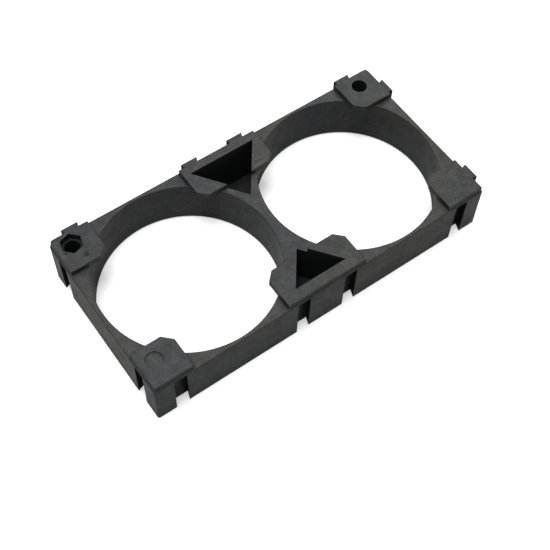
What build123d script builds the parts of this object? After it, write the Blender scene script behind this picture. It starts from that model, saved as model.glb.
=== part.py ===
from build123d import *
import os

# Bracket that holds two cylindrical battery cells side by side: one moulded plastic piece.
# Frame: +X along the row of cells, +Y across it, +Z up out of the retaining pads.
# Origin: middle of the underside, on the web between the two cell bores.

# ---- Driving dimensions, mm ----

# Frame and cell bores
BORE_D = 32.7  # bore for one 32.2 to 32.5 mm cell
WEB = 1.7  # thinnest wall between the two bores
SIDE_WALL = 0.65  # thinnest wall beside a bore, on the long sides
END_WALL = 0.85  # thinnest wall beyond a bore, at the short ends
FRAME_H = 9.6  # height of the frame, which is how deep a cell goes in
FRAME_EDGE_R = 0.25  # rounding of the frame's top edges, outside
BORE_LEAD = 0.25  # lead-in chamfer at the foot of a bore, where a cell goes in
BORE_RIM_R = 0.1  # rounding of a bore's upper rim
TONGUE_SIDE_R = 1.0  # upright corner radius on the side that carries tongues
GROOVE_SIDE_R = 0.4  # upright corner radius on the side that carries grooves

# Retaining pads on top of the frame, which stop a cell
PAD_T = 1.1  # thickness of every pad
PAD_EDGE_R = 0.2  # rounding round the top of the pads
CORNER_PAD = 7.75  # from the outer walls to the inner sides of a corner pad
CORNER_PAD_CUT = 1.7  # chamfer on its inner corner
MIDDLE_PAD_L = 16.0  # length of a middle pad, along X
MIDDLE_PAD_W = 7.65  # from the outer wall to the inner side of a middle pad
MIDDLE_PAD_CUT = 1.6  # chamfer on its two inner corners

# Triangular pockets that core out the thick middle, one on each long side
POCKET_FLOOR = 0.8  # plastic left under both pockets
BIG_POCKET_BASE = 13.4  # width of the pocket on the tongue side
BIG_POCKET_RIM = 2.0  # wall outside its base
BIG_POCKET_DEPTH = 9.2  # from its base to its apex
SMALL_POCKET_BASE = 10.5  # width of the pocket on the groove side
SMALL_POCKET_RIM = 2.3
SMALL_POCKET_DEPTH = 6.85

# Features of the corner pads, each with its distances from the end wall and the side wall
BOLT_D = 2.9  # both round through holes
BOLT_INSET = (4.0, 3.0)
NUT_AF = 3.6  # hexagonal seat over one of them, across flats
NUT_DEPTH = 1.3
NUT_INSET = (3.2, 2.8)
MARK_D = 3.2  # shallow round mark on a pad that has no hole
MARK_DEPTH = 0.25
MARK_INSET = (3.0, 4.6)

# Dovetails that join brackets side by side
TONGUE_ROOT = 2.3  # width of a tongue at the wall
TONGUE_TIP = 3.3  # width of a tongue at its tip
TONGUE_REACH = 1.4  # how far a tongue stands out
JOIN_GAP = 0.1  # clearance of a tongue in a groove, all round
JOIN_INSET = 4.9  # centre of a corner dovetail from the corner
GROOVE_ROOF = 0.2  # frame left over a groove, under the pad
MIDDLE_JOIN_SPACING = 9.8  # between the two dovetails on a middle pad

# ---- Worked out from them ----

PITCH = BORE_D + WEB
LENGTH = PITCH + BORE_D + 2 * END_WALL
WIDTH = BORE_D + 2 * SIDE_WALL
HALF_L = LENGTH / 2
HALF_W = WIDTH / 2
TOP = FRAME_H + PAD_T


def outline(inset=0):
    """The frame's outer rectangle, rounder on the tongue side, or one inset from it."""
    face = Rectangle(LENGTH - 2 * inset, WIDTH - 2 * inset)
    face = fillet(face.vertices().group_by(Axis.Y)[0], GROOVE_SIDE_R - inset)
    return fillet(face.vertices().sort_by(Axis.Y)[-2:], TONGUE_SIDE_R - inset)


def frame():
    """The ring of plastic round the two cell bores."""
    body = extrude(outline(), FRAME_H)
    body = fillet(body.faces().sort_by(Axis.Z)[-1].edges(), FRAME_EDGE_R)
    for x in (-PITCH / 2, PITCH / 2):
        body -= Pos(x, 0, FRAME_H / 2) * Cylinder(BORE_D / 2, FRAME_H)
    body = chamfer(bore_rims(body)[0], BORE_LEAD)
    return fillet(bore_rims(body)[-1], BORE_RIM_R)


def bore_rims(body):
    """Edges of the bore walls in groups by height, the lowest first."""
    circles = body.edges().filter_by(GeomType.CIRCLE)
    return circles.filter_by(lambda edge: abs(edge.radius - BORE_D / 2) < 0.01).group_by(Axis.Z)


def corner_pad(x_side, y_side):
    """Square pad with its inner corner cut off, flush with the frame's corner."""
    x, y = x_side * HALF_L, y_side * HALF_W
    x_in, y_in = x - x_side * CORNER_PAD, y - y_side * CORNER_PAD
    return make_face(
        Polyline(
            (x, y),
            (x, y_in),
            (x_in + x_side * CORNER_PAD_CUT, y_in),
            (x_in, y_in + y_side * CORNER_PAD_CUT),
            (x_in, y),
            close=True,
        )
    )


def middle_pad(y_side):
    """Pad between the bores, with its two inner corners cut off."""
    y = y_side * HALF_W
    y_in = y - y_side * MIDDLE_PAD_W
    x_out = MIDDLE_PAD_L / 2
    x_cut = x_out - MIDDLE_PAD_CUT
    y_cut = y_in + y_side * MIDDLE_PAD_CUT
    return make_face(
        Polyline(
            (-x_out, y),
            (x_out, y),
            (x_out, y_cut),
            (x_cut, y_in),
            (-x_cut, y_in),
            (-x_out, y_cut),
            close=True,
        )
    )


def pads():
    """All six pads, set back from the outer walls as far as the frame's edges are rounded."""
    faces = [corner_pad(x_side, y_side) for x_side in (-1, 1) for y_side in (-1, 1)]
    faces += [middle_pad(-1), middle_pad(1)]
    plates = Part()
    for face in faces:
        plate = extrude(Pos(0, 0, FRAME_H) * (outline(FRAME_EDGE_R) & face), PAD_T)
        plates += fillet(plate.faces().sort_by(Axis.Z)[-1].edges(), PAD_EDGE_R)
    return plates


def pocket(y_side, base, rim, depth):
    """Triangular pocket, its base along the outer wall and its apex towards the web."""
    y_base = y_side * (HALF_W - rim)
    y_apex = y_base - y_side * depth
    face = make_face(Polyline((-base / 2, y_base), (base / 2, y_base), (0, y_apex), close=True))
    return extrude(Pos(0, 0, POCKET_FLOOR) * face, TOP - POCKET_FLOOR)


def at_corner(x_side, y_side, inset, z):
    """A place at one corner, inset from its end wall and its side wall."""
    return Pos(x_side * (HALF_L - inset[0]), y_side * (HALF_W - inset[1]), z)


def bolt_hole():
    """Round hole right through the corner at +X +Y."""
    return at_corner(1, 1, BOLT_INSET, TOP / 2) * Cylinder(BOLT_D / 2, TOP)


def nut_hole():
    """Round through hole at -X +Y, under a hexagonal seat with a point towards the corner."""
    hexagon = RegularPolygon(NUT_AF / 2, 6, major_radius=False, rotation=15)
    seat = at_corner(-1, 1, NUT_INSET, TOP - NUT_DEPTH) * extrude(hexagon, NUT_DEPTH)
    return seat + at_corner(-1, 1, NUT_INSET, TOP / 2) * Cylinder(BOLT_D / 2, TOP)


def pad_mark():
    """Shallow round mark in the pad at -X -Y."""
    return at_corner(-1, -1, MARK_INSET, TOP - MARK_DEPTH / 2) * Cylinder(MARK_D / 2, MARK_DEPTH)


def dovetail(gap, height):
    """Upright dovetail on the XZ wall, standing out along +Y; a groove is one with a gap."""
    flare = (TONGUE_TIP - TONGUE_ROOT) / 2 / TONGUE_REACH
    reach = TONGUE_REACH + gap
    root = TONGUE_ROOT / 2 + gap
    tip = root + flare * reach
    face = make_face(Polyline((-root, 0), (root, 0), (tip, reach), (-tip, reach), close=True))
    return extrude(face, height)


def long_side_joins():
    """Places of the four dovetails along X."""
    end = HALF_L - JOIN_INSET
    middle = MIDDLE_JOIN_SPACING / 2
    return (-end, -middle, middle, end)


def end_joins():
    """Places of the two dovetails along Y."""
    side = HALF_W - JOIN_INSET
    return (-side, side)


def tongues():
    """Tongues on the +Y side and the +X end, short enough to seat in a neighbour's grooves."""
    tongue = dovetail(0, FRAME_H - GROOVE_ROOF - JOIN_GAP)
    row = [Pos(x, HALF_W, 0) * tongue for x in long_side_joins()]
    row += [Pos(HALF_L, y, 0) * Rot(0, 0, -90) * tongue for y in end_joins()]
    return row


def grooves():
    """Grooves on the -Y side and the -X end, open below and closed above."""
    groove = dovetail(JOIN_GAP, FRAME_H - GROOVE_ROOF)
    row = [Pos(x, -HALF_W, 0) * groove for x in long_side_joins()]
    row += [Pos(-HALF_L, y, 0) * Rot(0, 0, -90) * groove for y in end_joins()]
    return row


def bracket():
    """The whole moulding."""
    body = frame() + pads()
    body -= pocket(1, BIG_POCKET_BASE, BIG_POCKET_RIM, BIG_POCKET_DEPTH)
    body -= pocket(-1, SMALL_POCKET_BASE, SMALL_POCKET_RIM, SMALL_POCKET_DEPTH)
    body = body - bolt_hole() - nut_hole() - pad_mark()
    return body + tongues() - grooves()


os.makedirs("parts", exist_ok=True)
solid = bracket().solid()
solid.label = "bracket"
export_step(solid, "parts/bracket.step")
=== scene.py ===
import math

import bmesh
import bpy
from mathutils import Matrix, Vector


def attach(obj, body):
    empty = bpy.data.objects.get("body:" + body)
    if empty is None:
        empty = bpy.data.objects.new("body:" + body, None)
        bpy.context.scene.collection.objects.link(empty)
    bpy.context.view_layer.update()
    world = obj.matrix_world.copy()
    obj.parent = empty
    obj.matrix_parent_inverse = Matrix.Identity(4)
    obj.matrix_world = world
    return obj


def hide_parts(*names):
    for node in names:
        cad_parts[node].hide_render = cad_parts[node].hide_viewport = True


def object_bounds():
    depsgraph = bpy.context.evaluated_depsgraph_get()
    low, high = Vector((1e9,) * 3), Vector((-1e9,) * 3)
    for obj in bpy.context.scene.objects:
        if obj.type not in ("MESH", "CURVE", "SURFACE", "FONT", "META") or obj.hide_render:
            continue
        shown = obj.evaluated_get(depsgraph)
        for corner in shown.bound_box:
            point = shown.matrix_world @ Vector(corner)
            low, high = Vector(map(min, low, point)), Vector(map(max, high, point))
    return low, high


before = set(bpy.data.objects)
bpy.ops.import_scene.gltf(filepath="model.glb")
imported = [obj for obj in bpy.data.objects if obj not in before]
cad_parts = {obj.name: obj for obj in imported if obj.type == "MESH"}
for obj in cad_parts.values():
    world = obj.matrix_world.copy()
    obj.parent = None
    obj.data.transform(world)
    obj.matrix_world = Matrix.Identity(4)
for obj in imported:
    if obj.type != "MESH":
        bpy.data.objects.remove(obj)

MM = 0.001
cad_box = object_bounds()

# ---- Camera ----

CAMERA_AT = Vector((-61.964, -82.28, 163.784)) * MM
CAMERA_RIGHT = Vector((0.813905, -0.580547, 0.022885))
CAMERA_UP = Vector((0.490181, 0.707293, 0.509371))
CAMERA_LENS = 69.66  # mm
CAMERA_SENSOR = 36  # mm
CAMERA_NEAR = 0.005  # m
CAMERA_FAR = 10  # m

# ---- Lamps: name, angle from +X, angle above the floor, distance in m, side in m, watts ----

LAMPS = (
    ("key", 50, 38, 0.5, 0.22, 0.5),
    ("overhead", 180, 84, 1.0, 0.45, 8.2),
)

# ---- Floor and world ----

FLOOR_HALF = 0.38  # half the side of the floor, m
FLOOR_DROP = 0.02 * MM  # from the part down to the floor
FLOOR_SEEN = (0.93, 0.93, 0.93, 1)  # as the camera sees it
FLOOR_MIRRORED = (0.6, 0.6, 0.6, 1)  # as reflections see it
FLOOR_BOUNCE = (0.3, 0.3, 0.3, 1)  # as it lights the part
FLOOR_GLOW = 0.45  # added to what the camera sees of it, so that its shadows stay pale
FLOOR_ROUGHNESS = 0.9
FLOOR_GLOSS = 0.1
WHITE = (1, 1, 1, 1)
WORLD_SEEN = 1.0
WORLD_MIRRORED = 0.5
WORLD_LIGHT = 0.16

# ---- The moulding's edges ----

EDGE_R = 0.12 * MM
EDGE_SEGMENTS = 2
SHARP = math.radians(40)  # edges that turn more than this are rounded
FLAT = math.radians(0.2)  # triangles that meet flatter than this are one face
WELD = 0.0005 * MM  # corners nearer than this are one
FACE_WEIGHT = 100  # how much more the large faces count in the shading

# ---- The plastic's colours, and how much of each mark shows ----

BLACK_COOL = (0.0365, 0.041, 0.0445, 1)
BLACK_WARM = (0.047, 0.0465, 0.0425, 1)
RUBBED = (0.11, 0.11, 0.107, 1)
DUST = (0.17, 0.165, 0.155, 1)
# Black of the painted shade in recesses, and also the colour of the two pits
SHADE_AND_PIT_BLACK = (0.0075, 0.0085, 0.0095, 1)
CLOUD_TONES = (0.84, 1.16)  # darkest and lightest share of the black
SPECKLE_TONES = (0.8, 1.2)
DUST_AMOUNT = 0.14
SCUFF_AMOUNT = 0.35
DRAG_AMOUNT = 0.2
EDGE_AMOUNT = 0.35
# Painted shade: how far the recesses are darkened towards black
RECESS_SHADE_AMOUNT = 0.92

# ---- Its noises: features per metre, detail, and how rough the detail is ----

PATCH_NOISE = (70, 3.0, 0.5)
CLOUD_NOISE = (450, 4.0, 0.6)
SPECKLE_NOISE = (2600, 2.0, 0.5)
DUST_NOISE = (900, 5.0, 0.65)
SCUFF_PATCH_NOISE = (120, 1.0, 0.5)
EDGE_NOISE = (500, 3.0, 0.5)
SATIN_NOISE = (380, 4.0, 0.6)
GRAIN_NOISE = (3800, 2.0, 0.6)
WAVE_NOISE = (260, 1.0, 0.5)

# Long marks: features per metre along X, Y and Z, then detail
SCUFF_STREAKS = (((160, 2600, 600), 1.0), ((2300, 240, 600), 1.0))
DRAG_STREAKS = ((2200, 2200, 90), 3.0)

# ---- Where each mark comes in: the level at which it starts, and at which it is full ----

PATCH_LEVELS = (0.35, 0.65)
MIDDLE_LEVELS = (0.3, 0.7)  # of clouds, speckle and satin
DUST_LEVELS = (0.4, 0.75)
DUST_SLOPES = (0.6, 1.0)  # upward part of the normal
SCUFF_LEVELS = (0.66, 0.72)
SCUFF_PATCH_LEVELS = (0.5, 0.7)
WALL_SLOPES = (0.5, 0.1)  # upward part of the normal
DRAG_LEVELS = (0.55, 0.75)
EDGE_TURNS = (0.99, 0.85)  # cosine between the rounded normal and the true one
EDGE_LEVELS = (0.35, 0.65)
RECESS_LEVELS = (0.82, 0.4)  # share of the space around that is open

EDGE_WEAR_R = 0.22 * MM
EDGE_WEAR_SAMPLES = 6
RECESS_REACH = 11 * MM  # how near the walls of a recess stand that add painted shade to it
RECESS_SAMPLES = 8
PITS = ((-30.15, 10.91, 0.6), (-33.0, 12.95, 0.4))  # X, Y and radius, mm
PIT_CORE = 0.5  # share of a pit's radius that is fully dark

# ---- Roughness, gloss and relief ----

SATIN = (0.4, 0.52)  # least and most roughness of the bare plastic
DUST_ROUGHENS = 0.12
WEAR_SMOOTHS = 0.1
RECESS_ROUGHENS = 0.4
GLOSS = 0.24
GRAIN_DEPTH = 0.016 * MM
WAVE_DEPTH = 0.05 * MM
DRAG_DEPTH = 0.01 * MM
SCUFF_DEPTH = 0.006 * MM


def add_camera():
    """The camera, from its place and its right and up directions."""
    data = bpy.data.cameras.new("camera")
    data.lens = CAMERA_LENS
    data.sensor_width = CAMERA_SENSOR
    data.clip_start = CAMERA_NEAR
    data.clip_end = CAMERA_FAR
    camera = bpy.data.objects.new("camera", data)
    back = CAMERA_RIGHT.cross(CAMERA_UP).normalized()
    axes = Matrix((CAMERA_RIGHT, CAMERA_UP, back)).transposed().to_4x4()
    camera.matrix_world = Matrix.Translation(CAMERA_AT) @ axes
    bpy.context.scene.collection.objects.link(camera)
    bpy.context.scene.camera = camera


class Nodes:
    """Short ways to add and join the nodes of a material or the world."""

    def __init__(self, owner):
        self.tree = owner.node_tree

    def join(self, value, socket):
        """Give a socket a plain value, or link another node's output to it."""
        if isinstance(value, bpy.types.NodeSocket):
            self.tree.links.new(value, socket)
        else:
            socket.default_value = value

    def add(self, kind, inputs=None, **settings):
        """A new node with its settings, and its inputs by name or number."""
        node = self.tree.nodes.new(kind)
        for name, value in settings.items():
            setattr(node, name, value)
        for name, value in (inputs or {}).items():
            self.join(value, node.inputs[name])
        return node

    def noise(self, place, scale, detail, roughness=0.5):
        """Noise from 0 to 1 at a place, its scale in features per metre."""
        inputs = {"Vector": place, "Scale": scale, "Detail": detail, "Roughness": roughness}
        return self.add("ShaderNodeTexNoise", inputs).outputs[0]

    def streaks(self, place, scales, detail):
        """Noise with a scale of its own along each axis, so that it has long marks."""
        stretched = self.add("ShaderNodeMapping", {"Vector": place, "Scale": scales})
        return self.noise(stretched.outputs[0], 1.0, detail)

    def ramp(self, value, levels, results=(0.0, 1.0)):
        """A value taken smoothly from one range to another, and held at its ends."""
        names = ("Value", "From Min", "From Max", "To Min", "To Max")
        inputs = dict(zip(names, (value, *levels, *results)))
        return self.add("ShaderNodeMapRange", inputs, interpolation_type="SMOOTHSTEP").outputs["Result"]

    def math(self, operation, first, second=0.0):
        """One or two numbers put through an operation."""
        return self.add("ShaderNodeMath", {0: first, 1: second}, operation=operation).outputs[0]

    def vector(self, operation, first, second):
        """A number worked out from two vectors."""
        inputs = {0: first, 1: second}
        return self.add("ShaderNodeVectorMath", inputs, operation=operation).outputs["Value"]

    def blend(self, amount, base, other, blend_type="MIX"):
        """Two colours blended by an amount."""
        inputs = {0: amount, 6: base, 7: other}
        return self.add("ShaderNodeMix", inputs, data_type="RGBA", blend_type=blend_type).outputs[2]

    def between(self, amount, base, other):
        """A number between two others, by an amount."""
        return self.add("ShaderNodeMix", {0: amount, 2: base, 3: other}).outputs[0]

    def by_ray(self, mix, light, mirrored, seen):
        """One value as light, another in mirrors and through glass, another for the camera."""
        rays = self.add("ShaderNodeLightPath").outputs
        value = mix(rays["Is Glossy Ray"], light, mirrored)
        value = mix(rays["Is Transmission Ray"], value, mirrored)
        return mix(rays["Is Camera Ray"], value, seen)


def add_softbox(name, azimuth, elevation, distance, size, watts):
    """A square area light aimed at the part, placed by angle from +X and by height angle."""
    data = bpy.data.lights.new(name, "AREA")
    data.size = size
    data.energy = watts
    light = bpy.data.objects.new(name, data)
    light.visible_camera = False
    az, el = math.radians(azimuth), math.radians(elevation)
    direction = Vector((math.cos(az) * math.cos(el), math.sin(az) * math.cos(el), math.sin(el)))
    light.location = direction * distance
    light.rotation_euler = (-direction).to_track_quat("-Z", "Y").to_euler()
    bpy.context.scene.collection.objects.link(light)


def floor_material():
    """White to the camera, greyer in mirrors and darker as a source of light."""
    material = bpy.data.materials.new("floor")
    material.use_nodes = True
    nodes = Nodes(material)
    shader = material.node_tree.nodes["Principled BSDF"].inputs
    nodes.join(nodes.by_ray(nodes.blend, FLOOR_BOUNCE, FLOOR_MIRRORED, FLOOR_SEEN), shader["Base Color"])
    nodes.join(nodes.by_ray(nodes.between, 0.0, 0.0, FLOOR_GLOW), shader["Emission Strength"])
    nodes.join(WHITE, shader["Emission Color"])
    nodes.join(FLOOR_ROUGHNESS, shader["Roughness"])
    nodes.join(FLOOR_GLOSS, shader["Specular IOR Level"])
    return material


def add_floor():
    """A plain pale floor just under the part."""
    mesh = bpy.data.meshes.new("floor")
    half = FLOOR_HALF
    corners = [(-half, -half, 0), (half, -half, 0), (half, half, 0), (-half, half, 0)]
    mesh.from_pydata(corners, [], [(0, 1, 2, 3)])
    mesh.materials.append(floor_material())
    floor = bpy.data.objects.new("floor", mesh)
    floor.location.z = cad_box[0][2] - FLOOR_DROP
    bpy.context.scene.collection.objects.link(floor)


def add_world():
    """White surroundings for the camera, dimmer in reflections and faint as light."""
    world = bpy.data.worlds.new("world")
    world.use_nodes = True
    nodes = Nodes(world)
    background = world.node_tree.nodes["Background"].inputs
    nodes.join(WHITE, background["Color"])
    strength = nodes.by_ray(nodes.between, WORLD_LIGHT, WORLD_MIRRORED, WORLD_SEEN)
    nodes.join(strength, background["Strength"])
    bpy.context.scene.world = world


def softened(node):
    """A copy of a CAD node's mesh with its flat faces made whole and its sharp edges rounded."""
    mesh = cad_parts[node].data.copy()
    if "custom_normal" in mesh.attributes:
        mesh.attributes.remove(mesh.attributes["custom_normal"])
    mesh.name = node + "_moulding"
    bm = bmesh.new()
    bm.from_mesh(mesh)
    bmesh.ops.remove_doubles(bm, verts=bm.verts, dist=WELD)
    bmesh.ops.dissolve_limit(bm, angle_limit=FLAT, verts=bm.verts, edges=bm.edges)
    for face in bm.faces:
        face.smooth = True
    bm.to_mesh(mesh)
    bm.free()
    piece = bpy.data.objects.new(node + "_moulding", mesh)
    bpy.context.scene.collection.objects.link(piece)
    bevel = piece.modifiers.new("edges", "BEVEL")
    bevel.width = EDGE_R
    bevel.segments = EDGE_SEGMENTS
    bevel.limit_method = "ANGLE"
    bevel.angle_limit = SHARP
    bevel.use_clamp_overlap = True
    bevel.miter_outer = "MITER_ARC"
    normals = piece.modifiers.new("normals", "WEIGHTED_NORMAL")
    normals.keep_sharp = True
    normals.weight = FACE_WEIGHT
    bpy.context.view_layer.update()
    evaluated = piece.evaluated_get(bpy.context.evaluated_depsgraph_get())
    shaped = bpy.data.meshes.new_from_object(evaluated)
    piece.modifiers.clear()
    piece.data = shaped
    return piece


def plastic_marks(nodes, place):
    """How much of each mark shows at a place, from 0 to 1, by the mark's name."""
    normal = nodes.add("ShaderNodeNewGeometry").outputs["Normal"]
    up = nodes.add("ShaderNodeSeparateXYZ", {0: normal}).outputs[2]

    # Dust lies on faces that look up, thicker in some places
    cover = nodes.ramp(nodes.noise(place, *DUST_NOISE), DUST_LEVELS)
    dust = nodes.math("MULTIPLY", nodes.ramp(up, DUST_SLOPES), cover)

    # Scuffs are thin, run in two directions and come in patches
    along, across = (nodes.ramp(nodes.streaks(place, *kind), SCUFF_LEVELS) for kind in SCUFF_STREAKS)
    patchy = nodes.ramp(nodes.noise(place, *SCUFF_PATCH_NOISE), SCUFF_PATCH_LEVELS)
    scuffs = nodes.math("MULTIPLY", nodes.math("MAXIMUM", along, across), patchy)

    # Upright drag lines are left on the walls by the tool
    wall = nodes.ramp(nodes.math("ABSOLUTE", up), WALL_SLOPES)
    lines = nodes.streaks(place, *DRAG_STREAKS)
    drag = nodes.math("MULTIPLY", wall, nodes.ramp(lines, DRAG_LEVELS))

    # Edges are rubbed where a rounded normal turns away from the true one
    bevel = {"Radius": EDGE_WEAR_R}
    rounded = nodes.add("ShaderNodeBevel", bevel, samples=EDGE_WEAR_SAMPLES).outputs[0]
    turn = nodes.ramp(nodes.vector("DOT_PRODUCT", rounded, normal), EDGE_TURNS)
    worn = nodes.ramp(nodes.noise(place, *EDGE_NOISE), EDGE_LEVELS)
    edge = nodes.math("MULTIPLY", turn, worn)

    # Painted shade: recesses and the feet of steps are darkened where little of the space around is open,
    # and made duller
    reach = {"Distance": RECESS_REACH}
    around = nodes.add("ShaderNodeAmbientOcclusion", reach, samples=RECESS_SAMPLES, only_local=True)
    recess_shade = nodes.ramp(around.outputs["AO"], RECESS_LEVELS)

    relief = nodes.math("MULTIPLY", wall, lines)
    return {"dust": dust, "scuffs": scuffs, "drag": drag, "edge": edge, "recess_shade": recess_shade, "lines": relief}


def plastic_colour(nodes, place, marks):
    """Two shades of black in soft patches, clouded and speckled, under the marks and two pits, with
    painted shade darkening the recesses.
    """
    patches = nodes.ramp(nodes.noise(place, *PATCH_NOISE), PATCH_LEVELS)
    colour = nodes.blend(patches, BLACK_COOL, BLACK_WARM)
    clouds = nodes.ramp(nodes.noise(place, *CLOUD_NOISE), MIDDLE_LEVELS, CLOUD_TONES)
    speckle = nodes.ramp(nodes.noise(place, *SPECKLE_NOISE), MIDDLE_LEVELS, SPECKLE_TONES)
    colour = nodes.blend(1.0, colour, nodes.math("MULTIPLY", clouds, speckle), "MULTIPLY")
    for mark, amount, tone in (
        ("dust", DUST_AMOUNT, DUST),
        ("scuffs", SCUFF_AMOUNT, RUBBED),
        ("drag", DRAG_AMOUNT, RUBBED),
        ("edge", EDGE_AMOUNT, RUBBED),
        # Painted shade: recesses darken towards black where little of the space around is open
        ("recess_shade", RECESS_SHADE_AMOUNT, SHADE_AND_PIT_BLACK),
    ):
        colour = nodes.blend(nodes.math("MULTIPLY", marks[mark], amount), colour, tone)
    pad_top = cad_box[1][2]
    for x, y, radius in PITS:
        away = nodes.vector("DISTANCE", place, Vector((x * MM, y * MM, pad_top)))
        spot = nodes.ramp(away, (radius * MM, radius * PIT_CORE * MM))
        colour = nodes.blend(spot, colour, SHADE_AND_PIT_BLACK)
    return colour


def plastic_roughness(nodes, place, marks):
    """Satin, duller under dust and in recesses, and smoother where it is scuffed or rubbed."""
    satin = nodes.ramp(nodes.noise(place, *SATIN_NOISE), MIDDLE_LEVELS, SATIN)
    satin = nodes.math("ADD", satin, nodes.math("MULTIPLY", marks["dust"], DUST_ROUGHENS))
    wear = nodes.math("MAXIMUM", marks["scuffs"], marks["edge"])
    satin = nodes.math("SUBTRACT", satin, nodes.math("MULTIPLY", wear, WEAR_SMOOTHS))
    return nodes.math("ADD", satin, nodes.math("MULTIPLY", marks["recess_shade"], RECESS_ROUGHENS))


def plastic_relief(nodes, place, marks):
    """The tool's fine grain, faint waves from the moulding, drag lines and scuffs, as a normal."""
    inputs = {"Strength": 1.0}
    for height, depth in (
        (nodes.noise(place, *GRAIN_NOISE), GRAIN_DEPTH),
        (nodes.noise(place, *WAVE_NOISE), WAVE_DEPTH),
        (marks["lines"], DRAG_DEPTH),
        (nodes.math("SUBTRACT", 1.0, marks["scuffs"]), SCUFF_DEPTH),
    ):
        inputs = {**inputs, "Height": height, "Distance": depth}
        inputs["Normal"] = nodes.add("ShaderNodeBump", inputs).outputs[0]
    return inputs["Normal"]


def moulded_plastic():
    """Satin black moulded plastic."""
    material = bpy.data.materials.new("moulded_plastic")
    material.use_nodes = True
    nodes = Nodes(material)
    place = nodes.add("ShaderNodeTexCoord").outputs["Object"]
    marks = plastic_marks(nodes, place)
    shader = material.node_tree.nodes["Principled BSDF"].inputs
    nodes.join(plastic_colour(nodes, place, marks), shader["Base Color"])
    nodes.join(plastic_roughness(nodes, place, marks), shader["Roughness"])
    nodes.join(plastic_relief(nodes, place, marks), shader["Normal"])
    nodes.join(GLOSS, shader["Specular IOR Level"])
    return material


add_camera()
add_floor()
for lamp in LAMPS:
    add_softbox(*lamp)
add_world()
bpy.context.scene.view_settings.view_transform = "Standard"

bracket = softened("bracket")
bracket.data.materials.clear()
bracket.data.materials.append(moulded_plastic())
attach(bracket, "root")
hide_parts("bracket")
